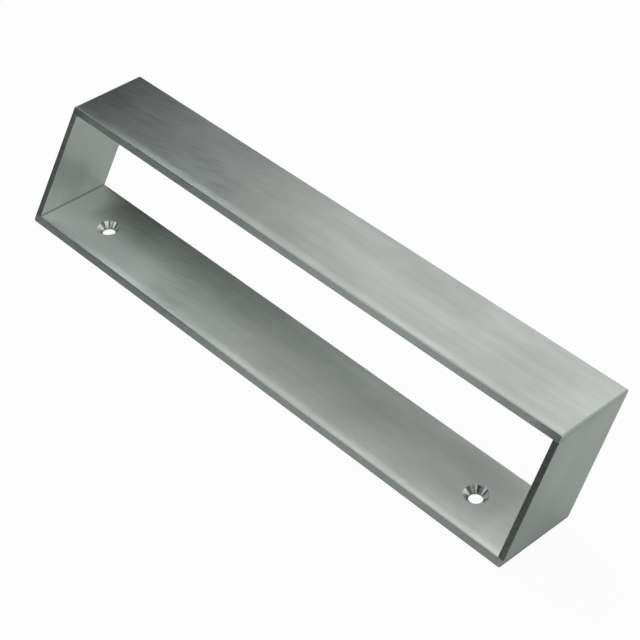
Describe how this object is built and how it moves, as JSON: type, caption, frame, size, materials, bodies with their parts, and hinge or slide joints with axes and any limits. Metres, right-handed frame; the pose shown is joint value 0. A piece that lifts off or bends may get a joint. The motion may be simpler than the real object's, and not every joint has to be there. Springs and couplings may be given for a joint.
{
  "type": "bar handle",
  "caption": "Screw-on pull handle: a closed, leaning loop of flat brushed steel plates with a flat grip bar above a base plate with countersunk holes.",
  "frame": {"origin": "midway between the two fixing holes, on the back face that lies on the door", "axes": "+X along the handle, +Y across the base plate towards the side that the grip bar leans to, +Z out of the door towards the grip bar"},
  "size_m": [0.235, 0.0527, 0.04],
  "materials": {
    "base_steel": "satin, brushed along the handle",
    "grip_steel": "satin, brushed along the handle",
    "end_steel": "satin, brushed across the handle"
  },
  "bodies": {
    "root": {"base_plate": "base_steel", "grip_bar": "grip_steel", "left_end_plate": "end_steel", "right_end_plate": "end_steel"}
  },
  "joints": []
}
